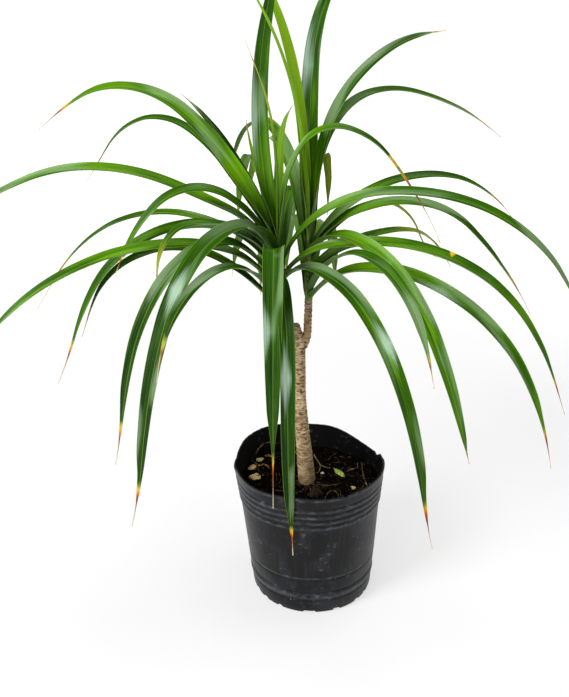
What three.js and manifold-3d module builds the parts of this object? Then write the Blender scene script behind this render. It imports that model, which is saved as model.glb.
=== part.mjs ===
// A potted strap-leaved house plant: a thin black nursery pot, its soil with bits of bark,
// a slender forked cane and two heads of long arching leaves. Millimetres, +Z up,
// with the origin at the centre of the pot's base and the viewer's side at -Y.
import * as THREE from 'three';
import { mergeVertices } from 'three/addons/utils/BufferGeometryUtils.js';
import Module from 'manifold-3d';

const wasm = await Module();
wasm.setup();

// Driving dimensions of the pot
const POT_HEIGHT = 170;
const BASE_RADIUS = 73;
const RIM_RADIUS = 89.3;
const POT_WALL = 1.2;
const POT_LEAN = -5;
const POT_SIDES = 44;
const CORNER = 1.6;
const GROOVE = 0.5;
const BAND_STEP = 0.9;
const BAND_BOTTOM = 126;
const RIM_BAND = 11;
const RIB_COUNT = 4;
const RIB_PITCH = 7.9;
const RIB_BELOW_RIM = 14;
const RIB_SLOPE = 2;
const LINE_HEIGHTS = [20, 30, 51];
const LINE_SLOPE = 1.4;
// The drain holes: bearing in degrees, width in mm, and height above the base
const DRAINS = [
  { bearing: -155, width: 12, height: 8 },
  { bearing: -141, width: 9, height: 5 },
  { bearing: -122, width: 7, height: 4.5 },
  { bearing: -92, width: 16, height: 4.5 },
  { bearing: -65, width: 9, height: 7.5 },
  { bearing: -40, width: 8, height: 5 },
  { bearing: -26, width: 8, height: 8 },
  { bearing: 0, width: 10, height: 6 },
  { bearing: 30, width: 10, height: 6 },
  { bearing: 60, width: 10, height: 6 },
  { bearing: 90, width: 10, height: 6 },
  { bearing: 120, width: 10, height: 6 },
  { bearing: 150, width: 10, height: 6 },
];
const DRAIN_LENGTH = 10;
const DRAIN_SIDES = 10;
// The soft rim's rises and dips: bearing and half-width in degrees, rise in mm
const RIM_WAVES = [
  { bearing: 135, reach: 55, rise: 5.5 },
  { bearing: 33, reach: 47, rise: -11 },
  { bearing: -100, reach: 40, rise: 1.5 },
  { bearing: 177, reach: 28, rise: -8 },
];
const RIM_WAVE_DEPTH = 44;

// Driving dimensions of the soil
const SOIL_TOP = 141;
const GAP = 0.3;
const SOIL_RINGS = [14, 30, 46, 62, 75];
const SOIL_SIDES = 40;
const SOIL_EDGE_DROP = 4;
// The soil's waves: heights in mm, lengths along each direction, and the fall towards the wall
const SOIL_SWELL = { height: 2.2, along: 19, across: 15, start: 0.6 };
const SOIL_CRUMB = { height: 1.1, along: 8, across: 10 };
const SOIL_DISH = 3;

// Driving dimensions of the stem: centre line points and radii, from the buried foot upwards
const STEM_SIDES = 12;
const TRUNK = [
  { at: [-5, 0, 84], radius: 7 },
  { at: [-6.5, 0, 120], radius: 10 },
  { at: [-7.5, 0, 141], radius: 10.6 },
  { at: [-12.8, 0, 200], radius: 8.6 },
  { at: [-16, 0, 240], radius: 7.4 },
  { at: [-17, 0, 270], radius: 6.8 },
  { at: [-17.6, 0, 318], radius: 6.6 },
  { at: [-20, 0, 334], radius: 5.8 },
  { at: [-22, 0, 346], radius: 5 },
];
const TRUNK_STEPS = 50;
const SCAR_PITCH = 10;
const SCAR_DEPTH = 0.35;
const LEFT_SHOOT = [
  { at: [-17.5, 0, 312], radius: 4.5 },
  { at: [-24, -3.5, 320], radius: 4.8 },
  { at: [-33, -9, 334], radius: 4.6 },
  { at: [-40, -14, 352], radius: 4.6 },
  { at: [-42, -16, 377], radius: 4.5 },
];
const RIGHT_SHOOT = [
  { at: [-17.5, 0, 314], radius: 4.5 },
  { at: [-12, 1.5, 322], radius: 4.8 },
  { at: [-9, 3, 334], radius: 4.7 },
  { at: [-8.5, 5, 352], radius: 4.6 },
  { at: [-8, 6, 377], radius: 4.5 },
];
const CORE_HEIGHT = 92;
const CORE_TOP_RADIUS = 1.6;
const SHOOT_STEPS = 12;
const BARE_ABOVE_SOIL = 4;
const JOIN = 0.01;

// Driving dimensions of the leaves. Each row is one leaf, lowest first: the bearing it grows
// towards, its seat above the shoot's leafy core, its length and width, and the slopes of its
// midrib in degrees at even steps from base to tip, where 90 is straight up. Some also swing
// round by degrees in all, or roll about the midrib by degrees at even steps.
const LEAF_THICKNESS = 0.8;
const LIGHT_ROLL = 25;
// Share of the width at the seat, for the lowest and the highest seats, and where it is full
const SEAT_SHARES = [0.5, 0.18];
const FULL_WIDTH_FROM = 0.32;
const TAPER_POWER = 4.5;
const THREAD_WIDTH = 1.3;
// The channel's side slopes in degrees at the seat and once opened, and where both settle
const CHANNEL_ANGLES = [35, 15];
const OPEN_FROM = 0.25;
const LEFT_LEAVES = [
  { turn: 192, seat: 4, length: 280, width: 14, slopes: [48, 43, 25, -6, -34, -64, -76] },
  { turn: 238, seat: 8, length: 264, width: 15, slopes: [56, 38, 11, -20, -52, -80] },
  { turn: 100, seat: 10, length: 225, width: 16, slopes: [50, 30, -10, -45, -65, -75] },
  {
    turn: 277, seat: 14, length: 365, width: 18.5, swing: 30,
    slopes: [82, -60, -88, -89, -88, -83, -79],
  },
  { turn: 203, seat: 20, length: 380, width: 16, slopes: [62, 28, 5, -9, -24, -38, -50] },
  { turn: 110, seat: 16, length: 250, width: 15, slopes: [55, 30, -6, -36, -56, -66] },
  { turn: -42, seat: 24, length: 400, width: 20, slopes: [60, -5, -42, -60, -70, -78, -70] },
  { turn: 216, seat: 26, length: 372, width: 19, slopes: [65, 35, -24, -56, -73, -80, -74] },
  { turn: -10, seat: 30, length: 420, width: 17, slopes: [60, 14, -3, -25, -48, -64, -72] },
  { turn: 268, seat: 32, length: 370, width: 25, slopes: [72, 38, -79, -86, -87, -88, -88, -88, -85] },
  { turn: 84, seat: 35, length: 340, width: 17, slopes: [60, 30, -5, -35, -60, -72] },
  { turn: 170, seat: 38, length: 356, width: 11, slopes: [60, 28, 6, -18, -38, -54, -60] },
  { turn: -5, seat: 44, length: 430, width: 16, slopes: [73, 38, 7, -12, -33, -55, -66] },
  { turn: 193, seat: 46, length: 350, width: 17, slopes: [63, 25, -7, -34, -60, -70, -62] },
  { turn: 209, seat: 50, length: 204, width: 10, slopes: [66, 50, 26, 12, 0, -50, -82, -86] },
  { turn: 106, seat: 52, length: 320, width: 17, slopes: [68, 48, 12, -35, -62, -72] },
  { turn: 228, seat: 55, length: 430, width: 22, slopes: [80, 6, -42, -67, -76, -81, -70] },
  { turn: 186, seat: 61, length: 420, width: 16, slopes: [58, 29, 23, 4, -19, -35, -46] },
  { turn: 198, seat: 64, length: 242, width: 16, slopes: [63, 51, 36, -4, -42, -58, -66] },
  { turn: 166, seat: 68, length: 312, width: 12, slopes: [62, 56, 52, 30, -18, -55, -60] },
  {
    turn: 180, seat: 71, length: 336, width: 20, roll: [-25, -25, 0, 0],
    slopes: [68, 61, 53, 41, 9, -29, -46],
  },
  {
    turn: 0, seat: 72, length: 322, width: 16.5, roll: [8, -15, -5, 20],
    slopes: [85, 84, 56, -17, -52, -57, -66],
  },
  { turn: 145, seat: 77, length: 192, width: 11, slopes: [62, 54, 50, 40, 28] },
  { turn: 275, seat: 76, length: 218, width: 4, swing: -80, slopes: [88, 87, 80, 70, 64] },
  { turn: 88, seat: 80, length: 138, width: 13, swing: -60, slopes: [68, 82, 90, 80, 54] },
  { turn: 115, seat: 73, length: 132, width: 6, swing: 40, slopes: [70, 61, 60, 74, 82] },
  { turn: 152, seat: 87, length: 284, width: 20, roll: [-20, -20], slopes: [72, 83, 92, 101, 114] },
];
const RIGHT_LEAVES = [
  { turn: -22, seat: 4, length: 398, width: 20, slopes: [55, 14, -14, -34, -54, -68, -74] },
  { turn: 98, seat: 8, length: 320, width: 16, slopes: [52, 30, -10, -40, -62, -74] },
  { turn: -60, seat: 12, length: 303, width: 15, slopes: [55, 38, 12, -18, -51, -74] },
  { turn: 50, seat: 22, length: 240, width: 15, slopes: [45, 6, -20, -42, -52, -56] },
  { turn: 80, seat: 16, length: 280, width: 17, slopes: [55, 25, -15, -45, -62, -74] },
  { turn: 40, seat: 32, length: 256, width: 13, slopes: [34, 9, -1, -14, -42, -58] },
  { turn: 96, seat: 36, length: 320, width: 17, slopes: [65, 45, 5, -35, -58, -70] },
  { turn: 20, seat: 46, length: 208, width: 9, slopes: [64, 42, 18, -32, -68, -40] },
  { turn: 112, seat: 50, length: 330, width: 17, slopes: [72, 58, 20, -30, -60, -72] },
  { turn: 5, seat: 54, length: 330, width: 16, slopes: [62, 24, -8, -44, -52, -60] },
  { turn: -44, seat: 56, length: 345, width: 20, slopes: [52, -4, -38, -58, -66, -72] },
  { turn: 15, seat: 59, length: 288, width: 15, slopes: [60, 37, 14, -8, -34, -54] },
  { turn: 56, seat: 62, length: 170, width: 11.5, slopes: [74, 84, 82, 66, -80, -90, -92] },
  { turn: 118, seat: 64, length: 320, width: 16, slopes: [73, 60, 28, -18, -50, -62] },
  { turn: 62, seat: 68, length: 380, width: 15, swing: -50, slopes: [83, 82, 45, 6, -16, -26, -44] },
  { turn: -5, seat: 73, length: 278, width: 20, roll: [10, 10], slopes: [84, 86, 74, 55, 33, 2] },
  { turn: 100, seat: 76, length: 350, width: 22, swing: -70, slopes: [82, 88, 81, 48, 14] },
  { turn: 163, seat: 82, length: 290, width: 19, swing: 10, slopes: [86, 86, 81, 71, 60] },
  { turn: 233, seat: 85, length: 290, width: 9, swing: -30, slopes: [86, 82, 74, 63, 52] },
];

// Loose bits on the soil: centre, size, bearing and tilt in degrees, sunk by a share of height
const BITS = [
  { name: 'bark_chip_1', at: [-72, 8], size: [27, 13, 3.5], bearing: 115, tilt: 14, kind: 'bark' },
  { name: 'bark_chip_2', at: [-76, 30], size: [14, 8, 3], bearing: 60, tilt: -12, kind: 'bark' },
  { name: 'bark_chip_3', at: [-66, 50], size: [15, 7, 3], bearing: 35, tilt: 10, kind: 'bark' },
  { name: 'bark_chip_4', at: [47, -14], size: [9, 5, 2.5], bearing: 160, tilt: 8, kind: 'bark' },
  { name: 'fallen_shoot_tip', at: [31, 17], size: [27, 9, 6], bearing: -62, tilt: 0, kind: 'bud' },
  { name: 'soil_clod', at: [3, -29], size: [17, 15, 9], bearing: 20, tilt: 0, kind: 'clod' },
  { name: 'perlite_grain', at: [11, 14], size: [5, 4, 3.5], bearing: 0, tilt: 0, kind: 'perlite' },
];
const SINK = 0.35;
const CHIP_SIDES = 6;
const CHIP_TOP_SHARE = 0.84;

const rad = THREE.MathUtils.degToRad;
const smooth = (x) => THREE.MathUtils.smoothstep(x, 0, 1);
const group = new THREE.Group();

function addPiece(name, geometry, color, roughness) {
  const material = new THREE.MeshStandardMaterial({ color, roughness, metalness: 0 });
  const mesh = new THREE.Mesh(geometry, material);
  mesh.name = name;
  group.add(mesh);
}

// Solid conversion for cuts and joins
function toSolid(geometry) {
  const bare = new THREE.BufferGeometry();
  bare.setAttribute('position', geometry.getAttribute('position').clone());
  if (geometry.index) bare.setIndex(geometry.index.clone());
  const merged = mergeVertices(bare, 1e-4);
  const vertProperties = new Float32Array(merged.getAttribute('position').array);
  const triVerts = new Uint32Array(merged.index.array);
  return new wasm.Manifold(new wasm.Mesh({ numProp: 3, vertProperties, triVerts }));
}

function toGeometry(solid) {
  const mesh = solid.getMesh();
  const geometry = new THREE.BufferGeometry();
  geometry.setAttribute('position', new THREE.BufferAttribute(new Float32Array(mesh.vertProperties), 3));
  geometry.setIndex(Array.from(mesh.triVerts));
  return geometry;
}

// A closed skin over a row of rings that all have the same number of points, counter-clockwise
// seen from the last ring. mirrored says on which sides the quads are split the other way.
function skin(rings, mirrored = () => false) {
  const sides = rings[0].length;
  const positions = rings.flat().flatMap((p) => [p.x, p.y, p.z]);
  const index = [];
  for (let k = 0; k < rings.length - 1; k += 1) {
    for (let i = 0; i < sides; i += 1) {
      const a = k * sides + i;
      const b = k * sides + ((i + 1) % sides);
      const c = b + sides;
      const d = a + sides;
      if (mirrored(i)) index.push(a, b, d, b, c, d);
      else index.push(a, b, c, a, c, d);
    }
  }
  const last = (rings.length - 1) * sides;
  for (let i = 1; i < Math.floor(sides / 2); i += 1) {
    const j = sides - i;
    index.push(i - 1 === 0 ? 0 : i - 1, (j + 1) % sides, i);
    index.push(i, (j + 1) % sides, j);
    index.push(last + (i - 1), last + i, last + ((j + 1) % sides));
    index.push(last + i, last + j, last + ((j + 1) % sides));
  }
  const mid = Math.floor(sides / 2);
  index.push(mid - 1, mid + 1, mid);
  index.push(last + mid - 1, last + mid, last + mid + 1);
  const geometry = new THREE.BufferGeometry();
  geometry.setAttribute('position', new THREE.Float32BufferAttribute(positions, 3));
  geometry.setIndex(index);
  return geometry;
}

// The pot: a thin turned shell with ribs, leaned a little, its rim waved and its drain holes cut
function potRadius(z) {
  return BASE_RADIUS + (RIM_RADIUS - BASE_RADIUS) * (z / POT_HEIGHT);
}

function potLean(z) {
  return POT_LEAN * (z / POT_HEIGHT);
}

function rimRise(bearing) {
  let rise = 0;
  for (const wave of RIM_WAVES) {
    let off = Math.abs(bearing - wave.bearing) % 360;
    if (off > 180) off = 360 - off;
    if (off < wave.reach) rise += wave.rise * (0.5 + 0.5 * Math.cos((Math.PI * off) / wave.reach));
  }
  return rise;
}

function potShell() {
  const wall = (z, out) => new THREE.Vector2(potRadius(z) + out, z);
  const profile = [new THREE.Vector2(0, 0), new THREE.Vector2(BASE_RADIUS - CORNER, 0), wall(CORNER, 0)];
  for (const z of LINE_HEIGHTS) {
    profile.push(wall(z - LINE_SLOPE, 0), wall(z, -GROOVE), wall(z + LINE_SLOPE, 0));
  }
  profile.push(wall(BAND_BOTTOM, 0), wall(BAND_BOTTOM + BAND_STEP, BAND_STEP));
  for (let k = RIB_COUNT - 1; k >= 0; k -= 1) {
    const z = POT_HEIGHT - RIB_BELOW_RIM - k * RIB_PITCH;
    profile.push(wall(z - RIB_SLOPE, BAND_STEP), wall(z, BAND_STEP - GROOVE));
  }
  profile.push(wall(POT_HEIGHT - RIM_BAND, BAND_STEP), wall(POT_HEIGHT, GROOVE));
  profile.push(wall(POT_HEIGHT, -POT_WALL), wall(BAND_BOTTOM, -POT_WALL), wall(POT_WALL, -POT_WALL));
  profile.push(new THREE.Vector2(0, POT_WALL));
  const geometry = new THREE.LatheGeometry(profile, POT_SIDES).rotateX(Math.PI / 2);
  const position = geometry.getAttribute('position');
  for (let i = 0; i < position.count; i += 1) {
    const x = position.getX(i);
    const y = position.getY(i);
    const z = position.getZ(i);
    const bearing = THREE.MathUtils.radToDeg(Math.atan2(y, x));
    const height = Math.max(0, 1 - (POT_HEIGHT - z) / RIM_WAVE_DEPTH);
    position.setXYZ(i, x + potLean(z), y, z + rimRise(bearing) * height * height);
  }
  return geometry;
}

function makePot() {
  let solid = toSolid(potShell());
  for (const drain of DRAINS) {
    const cutter = new THREE.CylinderGeometry(1, 1, DRAIN_LENGTH, DRAIN_SIDES).rotateZ(Math.PI / 2);
    cutter.scale(1, drain.width / 2, drain.height);
    cutter.translate(BASE_RADIUS, 0, 0).rotateZ(rad(drain.bearing));
    solid = solid.subtract(toSolid(cutter));
  }
  addPiece('pot', toGeometry(solid), 0x2d2d2f, 0.5);
}

// A round stem skinned along a curve through its points, with a radius at every step
function roundStem(points, steps, radiusAt) {
  const curve = new THREE.CatmullRomCurve3(points.map((p) => new THREE.Vector3(...p.at)));
  const rings = [];
  for (let k = 0; k <= steps; k += 1) {
    const u = k / steps;
    const centre = curve.getPoint(u);
    const along = curve.getTangent(u);
    const side = new THREE.Vector3(0, 1, 0).cross(along).normalize();
    const front = along.clone().cross(side).normalize();
    const radius = radiusAt(u, centre);
    const ring = [];
    for (let i = 0; i < STEM_SIDES; i += 1) {
      const angle = (i / STEM_SIDES) * Math.PI * 2;
      const out = side.clone().multiplyScalar(Math.cos(angle) * radius);
      ring.push(centre.clone().add(out).addScaledVector(front, Math.sin(angle) * radius));
    }
    rings.push(ring);
  }
  return skin(rings);
}

function radiusBetween(points, u) {
  const place = u * (points.length - 1);
  const k = Math.min(Math.floor(place), points.length - 2);
  return THREE.MathUtils.lerp(points[k].radius, points[k + 1].radius, place - k);
}

function coreRadius(height) {
  return THREE.MathUtils.lerp(LEFT_SHOOT[4].radius, CORE_TOP_RADIUS, height / CORE_HEIGHT);
}

function shoot(points) {
  const top = points[points.length - 1];
  const bend = roundStem(points, SHOOT_STEPS, (u) => radiusBetween(points, u));
  const core = new THREE.CylinderGeometry(CORE_TOP_RADIUS, top.radius, CORE_HEIGHT, STEM_SIDES);
  core.rotateX(Math.PI / 2).translate(top.at[0], top.at[1], top.at[2] + CORE_HEIGHT / 2 - JOIN);
  return toSolid(bend).add(toSolid(core));
}

function trunkSolid(grow) {
  return toSolid(roundStem(TRUNK, TRUNK_STEPS, (u, centre) => {
    const scar = (centre.z % SCAR_PITCH) < SCAR_PITCH / 2 ? 1 : 0;
    const bare = centre.z > SOIL_TOP + BARE_ABOVE_SOIL && grow === 0;
    return radiusBetween(TRUNK, u) + grow - (bare ? scar * SCAR_DEPTH : 0);
  }));
}

function makeStem() {
  const solid = trunkSolid(0).add(shoot(LEFT_SHOOT)).add(shoot(RIGHT_SHOOT));
  addPiece('stem', toGeometry(solid), 0xa98c64, 0.85);
}

// The soil's uneven top, as a height at each place
function soilHeight(x, y) {
  const swell = Math.sin(x / SOIL_SWELL.along + SOIL_SWELL.start) * Math.cos(y / SOIL_SWELL.across);
  const crumb = Math.sin((x + y) / SOIL_CRUMB.along) * Math.cos((x - y) / SOIL_CRUMB.across);
  const dish = SOIL_DISH * Math.pow(Math.hypot(x, y) / RIM_RADIUS, 4);
  return SOIL_TOP + SOIL_SWELL.height * swell + SOIL_CRUMB.height * crumb - dish;
}

function soilBody() {
  const inner = (z) => potRadius(z) - POT_WALL - GAP;
  const bottom = POT_WALL + GAP;
  const top = SOIL_TOP - SOIL_EDGE_DROP;
  const profile = [new THREE.Vector2(0, bottom), new THREE.Vector2(inner(bottom) - GAP, bottom)];
  profile.push(new THREE.Vector2(inner(top) - GAP, top));
  for (const r of [...SOIL_RINGS].reverse()) profile.push(new THREE.Vector2(r, SOIL_TOP));
  profile.push(new THREE.Vector2(0, SOIL_TOP));
  const geometry = new THREE.LatheGeometry(profile, SOIL_SIDES).rotateX(Math.PI / 2);
  const position = geometry.getAttribute('position');
  for (let i = 0; i < position.count; i += 1) {
    const x = position.getX(i) + potLean(position.getZ(i));
    const y = position.getY(i);
    const onTop = position.getZ(i) === SOIL_TOP;
    position.setXYZ(i, x, y, onTop ? soilHeight(x, y) : position.getZ(i));
  }
  return toSolid(geometry);
}

// A loose bit as a small rounded or flat block, and the same grown by the gap to cut its seat
function bitGeometry(bit, grow) {
  const [length, width, height] = bit.size.map((s) => s + 2 * grow);
  let shape;
  if (bit.kind === 'bark') {
    shape = new THREE.CylinderGeometry((width / 2) * CHIP_TOP_SHARE, width / 2, height, CHIP_SIDES);
    shape.rotateX(Math.PI / 2).scale(length / width, 1, 1);
  } else {
    shape = new THREE.IcosahedronGeometry(0.5, 1).scale(length, width, height);
  }
  shape.rotateY(rad(bit.tilt)).rotateZ(rad(bit.bearing));
  const lift = bit.size[2] * (0.5 - SINK);
  return shape.translate(bit.at[0], bit.at[1], soilHeight(...bit.at) + lift);
}

function makeSoil() {
  let solid = soilBody().subtract(trunkSolid(GAP));
  for (const bit of BITS) solid = solid.subtract(toSolid(bitGeometry(bit, GAP)));
  addPiece('soil', toGeometry(solid), 0x2a1f17, 0.95);
}

function makeBits() {
  const colors = { bark: 0xa8794a, bud: 0x9fb070, clod: 0x2e231a, perlite: 0xe8e6e0 };
  for (const bit of BITS) {
    addPiece(bit.name, toGeometry(toSolid(bitGeometry(bit, 0))), colors[bit.kind], 0.9);
  }
}

// One strap leaf: a shallow channel skinned along an arching midrib, narrow at its seat and
// drawn out to a thread at the tip
function leafWidth(leaf, s) {
  const seated = THREE.MathUtils.lerp(...SEAT_SHARES, leaf.seat / CORE_HEIGHT);
  const swell = THREE.MathUtils.lerp(seated, 1, smooth(s / FULL_WIDTH_FROM));
  return Math.max(THREAD_WIDTH, leaf.width * swell * (1 - Math.pow(s, TAPER_POWER)));
}

// The value at a share of the way along a list of values at even steps
function between(values, s) {
  const place = s * (values.length - 1);
  const k = Math.min(Math.floor(place), values.length - 2);
  return THREE.MathUtils.lerp(values[k], values[k + 1], place - k);
}

// The blade rolls towards the light from the viewer's side once it is clear of its seat
function leafRoll(leaf, s) {
  const own = between(leaf.roll ?? [0, 0], s);
  return rad(LIGHT_ROLL * Math.cos(rad(leaf.turn)) + own) * smooth(s / OPEN_FROM);
}

function channelAngle(s) {
  return rad(THREE.MathUtils.lerp(...CHANNEL_ANGLES, smooth(s / OPEN_FROM)));
}

function makeLeaf(name, leaf, points) {
  const [x, y, z] = points[points.length - 1].at;
  const steps = 2 * (leaf.slopes.length - 1);
  const step = leaf.length / steps;
  const turn = rad(leaf.turn);
  const seatRadius = coreRadius(leaf.seat) / Math.cos(channelAngle(0)) + GAP + LEAF_THICKNESS / 2;
  const place = new THREE.Vector3(x, y, z + leaf.seat);
  place.add(new THREE.Vector3(Math.cos(turn), Math.sin(turn), 0).multiplyScalar(seatRadius));
  const rings = [];
  for (let k = 0; k <= steps; k += 1) {
    const s = k / steps;
    const slope = rad(between(leaf.slopes, s));
    const bearing = turn + rad(leaf.swing ?? 0) * s;
    if (k > 0) {
      const mid = rad(between(leaf.slopes, s - 0.5 / steps));
      const out = new THREE.Vector3(Math.cos(bearing), Math.sin(bearing), 0);
      place.addScaledVector(out, Math.cos(mid) * step);
      place.z += Math.sin(mid) * step;
    }
    const level = new THREE.Vector3(-Math.sin(bearing), Math.cos(bearing), 0);
    const outward = new THREE.Vector3(Math.cos(bearing), Math.sin(bearing), 0);
    const above = outward.multiplyScalar(-Math.sin(slope)).setZ(Math.cos(slope));
    const roll = leafRoll(leaf, s);
    const side = level.clone().multiplyScalar(Math.cos(roll)).addScaledVector(above, Math.sin(roll));
    const up = above.clone().multiplyScalar(Math.cos(roll)).addScaledVector(level, -Math.sin(roll));
    const half = leafWidth(leaf, s) / 2;
    const across = half * Math.cos(channelAngle(s));
    const raised = half * Math.sin(channelAngle(s));
    const at = (b, n) => place.clone().addScaledVector(side, b).addScaledVector(up, n);
    const upper = LEAF_THICKNESS / 2;
    rings.push([
      at(across, raised + upper), at(0, upper), at(-across, raised + upper),
      at(-across, raised - upper), at(0, -upper), at(across, raised - upper),
    ]);
  }
  addPiece(name, skin(rings, (i) => i > 2), 0x4a7a26, 0.45);
}

function makeHead(name, leaves, points) {
  leaves.forEach((leaf, i) => makeLeaf(`${name}_${String(i + 1).padStart(2, '0')}`, leaf, points));
}

makePot();
makeSoil();
makeStem();
makeBits();
makeHead('leaf_left', LEFT_LEAVES, LEFT_SHOOT);
makeHead('leaf_right', RIGHT_LEAVES, RIGHT_SHOOT);

export default group;
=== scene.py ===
# A potted strap-leaved house plant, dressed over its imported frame: a thin black nursery pot,
# its soil with bits of bark, a slender forked cane and two heads of long arching leaves.
# Everything is in metres, +Z up, with the viewer's side at -Y.
import math
import random

import bpy
import numpy as np
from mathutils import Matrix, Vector, noise


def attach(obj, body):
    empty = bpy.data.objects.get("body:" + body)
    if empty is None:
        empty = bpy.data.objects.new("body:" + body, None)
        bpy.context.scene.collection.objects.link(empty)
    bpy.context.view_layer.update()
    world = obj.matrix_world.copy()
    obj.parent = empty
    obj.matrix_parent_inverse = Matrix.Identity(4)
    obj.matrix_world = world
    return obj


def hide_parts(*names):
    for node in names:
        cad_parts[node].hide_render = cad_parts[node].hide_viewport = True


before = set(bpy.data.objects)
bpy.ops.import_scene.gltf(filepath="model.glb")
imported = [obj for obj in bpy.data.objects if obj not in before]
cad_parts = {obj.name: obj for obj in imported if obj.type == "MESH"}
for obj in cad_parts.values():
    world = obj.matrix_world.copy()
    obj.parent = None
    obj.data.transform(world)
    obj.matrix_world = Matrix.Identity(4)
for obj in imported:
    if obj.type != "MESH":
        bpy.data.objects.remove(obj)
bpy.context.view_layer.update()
scene = bpy.context.scene

# The pot is a thin blown nursery pot of soft black plastic, 180 mm across its raw-cut rim. The
# wall is ribbed below the rim and above the base, has sagged out of round, and has drain holes
# punched round its bottom edge. It is turned here as one shell, waved, then punched.
POT_HEIGHT = 0.17
BASE_RADIUS = 0.073
RIM_RADIUS = 0.0893
POT_WALL = 0.0012
POT_LEAN = -0.005
POT_SIDES = 240
BAND_BOTTOM = 0.126
BAND_STEP = 0.0009
RIB_GROOVES = [POT_HEIGHT - 0.014 - 0.0079 * k for k in range(4)]
# Grooves round the wall: height, depth and half-width
GROOVES = [(z, 0.0007, 0.0009) for z in RIB_GROOVES]
GROOVES += [(0.051, 0.0005, 0.0006), (0.0315, 0.0009, 0.0016), (0.0195, 0.0006, 0.0007)]
# Raised beads round the wall: height, rise and half-width
BEADS = [(z - 0.0039, 0.0004, 0.0013) for z in RIB_GROOVES]
BEADS += [(0.0255, 0.0008, 0.0028), (0.0535, 0.0002, 0.001), (0.168, 0.0003, 0.001)]
# The soft rim's rises and dips: bearing and half-width in degrees, then the rise. Waves bend the
# wall far down, and nicks only its edge.
RIM_WAVES = [(135, 55, 0.0055), (33, 47, -0.011), (-100, 40, 0.0015), (177, 28, -0.008)]
RIM_NICKS = [(23, 4, -0.003), (17, 4, 0.002), (171, 4, -0.0025), (-62, 2, -0.0025)]
RIM_WAVE_DEPTH = 0.044
RIM_NICK_DEPTH = 0.006
# How uneven the raw cut of the rim is, and how far the soft wall sways in and out
RAW_CUT = 0.0005
SAG = 0.0011
# Drain holes: bearing in degrees, width and height
DRAINS = [(-155, 0.012, 0.008), (-141, 0.009, 0.005), (-122, 0.007, 0.0045), (-92, 0.016, 0.0045)]
DRAINS += [(-65, 0.009, 0.0085), (-40, 0.008, 0.005), (-26, 0.008, 0.008)]
DRAINS += [(bearing, 0.01, 0.006) for bearing in range(0, 180, 30)]
DRAIN_DEPTH = 0.005
# Heights on the wall that white specks gather at, and how far they stray from them
FLECKED_LINES = (0.05, 0.02, 0.168)
FLECK_REACH = 0.004
MOULD_EDGE = math.radians(38)


def paint(red, green, blue):
    """A colour as the eye reads it on a screen, 0 to 255, as the light values shaders use."""
    return tuple((part / 255) ** 2.2 for part in (red, green, blue)) + (1.0,)


class Wire:
    """A value in a material. Operators on it add Math nodes, and node() adds any other."""

    def __init__(self, tree, socket=None):
        self.tree = tree
        self.socket = socket

    def node(self, kind, settings, inputs, output=0):
        made = self.tree.nodes.new("ShaderNode" + kind)
        for name, value in settings.items():
            if name == "stops":
                ramp = made.color_ramp.elements
                ramp.remove(ramp[1])
                ramp[0].position, ramp[0].color = value[0]
                for place, colour in value[1:]:
                    ramp.new(place).color = colour
            else:
                setattr(made, name, value)
        for name, value in inputs.items():
            if isinstance(value, Wire):
                self.tree.links.new(value.socket, made.inputs[name])
            else:
                made.inputs[name].default_value = value
        return Wire(self.tree, made.outputs[output])

    def maths(self, operation, *values):
        return self.node("Math", {"operation": operation}, dict(enumerate(values)))

    def __add__(self, other):
        return self.maths("ADD", self, other)

    def __sub__(self, other):
        return self.maths("SUBTRACT", self, other)

    def __rsub__(self, other):
        return self.maths("SUBTRACT", other, self)

    def __mul__(self, other):
        return self.maths("MULTIPLY", self, other)

    def __abs__(self):
        return self.maths("ABSOLUTE", self)

    __radd__ = __add__
    __rmul__ = __mul__

    def fade(self, low, high):
        """0 below low and 1 above high, smooth between; the other way round if high is less."""
        span = {"Value": self, "From Min": low, "From Max": high}
        return self.node("MapRange", {"interpolation_type": "SMOOTHSTEP"}, span)

    def pick(self, first, second):
        """The first colour where this is 0 and the second where it is 1."""
        first, second = (paint(*c) if isinstance(c, tuple) else c for c in (first, second))
        return self.node("Mix", {"data_type": "RGBA"}, {0: self, 6: first, 7: second}, 2)

    def coated(self, *coats):
        """This colour under coats, each given by how much it covers and then its own colour."""
        colour = self
        for cover, coat in coats:
            colour = cover.pick(colour, coat)
        return colour

    def ramp(self, *stops):
        """Colours along this value: each stop is a place and then its colour."""
        return self.node("ValToRGB", {"stops": [(at, paint(*c)) for at, *c in stops]}, {0: self})

    def place(self):
        return self.node("TexCoord", {}, {}, 3)

    def stretch(self, x, y, z):
        return self.node("VectorMath", {"operation": "MULTIPLY"}, {0: self, 1: (x, y, z)})

    def part(self, axis):
        return self.node("SeparateXYZ", {}, {0: self}, axis)

    def own(self, attribute):
        """A vector that the mesh holds at each point."""
        return self.node("Attribute", {"attribute_name": attribute}, {}, 1)

    def cloud(self, scale, detail=3.0):
        return self.node("TexNoise", {}, {"Vector": self, "Scale": scale, "Detail": detail})

    def specks(self, scale):
        """The distance from the nearest of many scattered points, in cell widths."""
        return self.node("TexVoronoi", {}, {"Vector": self, "Scale": scale})

    def bump(self, depth):
        return self.node("Bump", {}, {"Height": self, "Distance": depth, "Strength": 1.0})


def finish(name, rough, mirror, looks, glow=0.0):
    """A material of one surface: how rough it is, how much it mirrors, and what looks() drives."""
    material = bpy.data.materials.new(name)
    material.use_nodes = True
    tree = material.node_tree
    surface = tree.nodes["Principled BSDF"]
    plain = {"Roughness": rough, "Specular IOR Level": mirror, "Emission Strength": glow}
    for socket, value in plain.items():
        surface.inputs[socket].default_value = value
    for socket, value in looks(Wire(tree)).items():
        tree.links.new(value.socket, surface.inputs[socket])
    return material


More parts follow.
